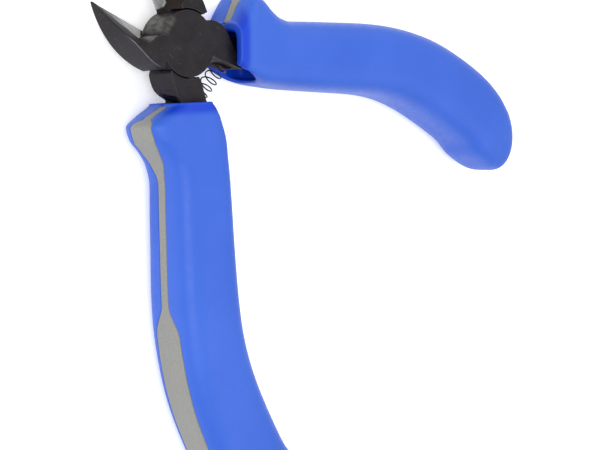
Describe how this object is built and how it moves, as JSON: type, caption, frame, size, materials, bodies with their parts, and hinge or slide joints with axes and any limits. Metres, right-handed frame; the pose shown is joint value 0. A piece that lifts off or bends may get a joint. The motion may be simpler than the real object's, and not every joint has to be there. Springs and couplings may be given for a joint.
{
  "type": "diagonal cutting pliers",
  "caption": "Small spring-opened diagonal cutters: lap-joint forged halves, blind pivot rivet, coil return spring and two-material moulded grips.",
  "frame": {"origin": "the pivot axis where it leaves the front face of the joint", "axes": "+Z out of the front face, along the pivot axis; +Y from the joint towards the jaws, midway between the open halves; +X to the right, towards the front half's handle"},
  "size_m": [0.1274, 0.1149, 0.0158],
  "materials": {
    "forged_steel": "black-oxide forged steel, satin, with bright ground bevels",
    "rivet_steel": "ground flush, satin",
    "spring_steel": "black spring wire",
    "grey_core": "fine moulded texture",
    "blue_cover": "smooth soft plastic with a low sheen"
  },
  "bodies": {
    "front_half_body": {"front_half": "forged_steel", "pivot_rivet": "rivet_steel", "return_spring": "spring_steel", "grip_core_front": "grey_core", "grip_cover_front": "blue_cover"},
    "rear_half_body": {"rear_half": "forged_steel", "grip_core_rear": "grey_core", "grip_cover_rear": "blue_cover"}
  },
  "joints": [
    {"name": "pivot", "type": "hinge", "parent": "front_half_body", "child": "rear_half_body", "pos_m": [0, 0, 0], "axis": [0, 0, 1], "range_deg": [0, 42], "stiffness_Nm_per_rad": 0.05, "springref_deg": -20.05, "deforming": ["return_spring"]}
  ]
}
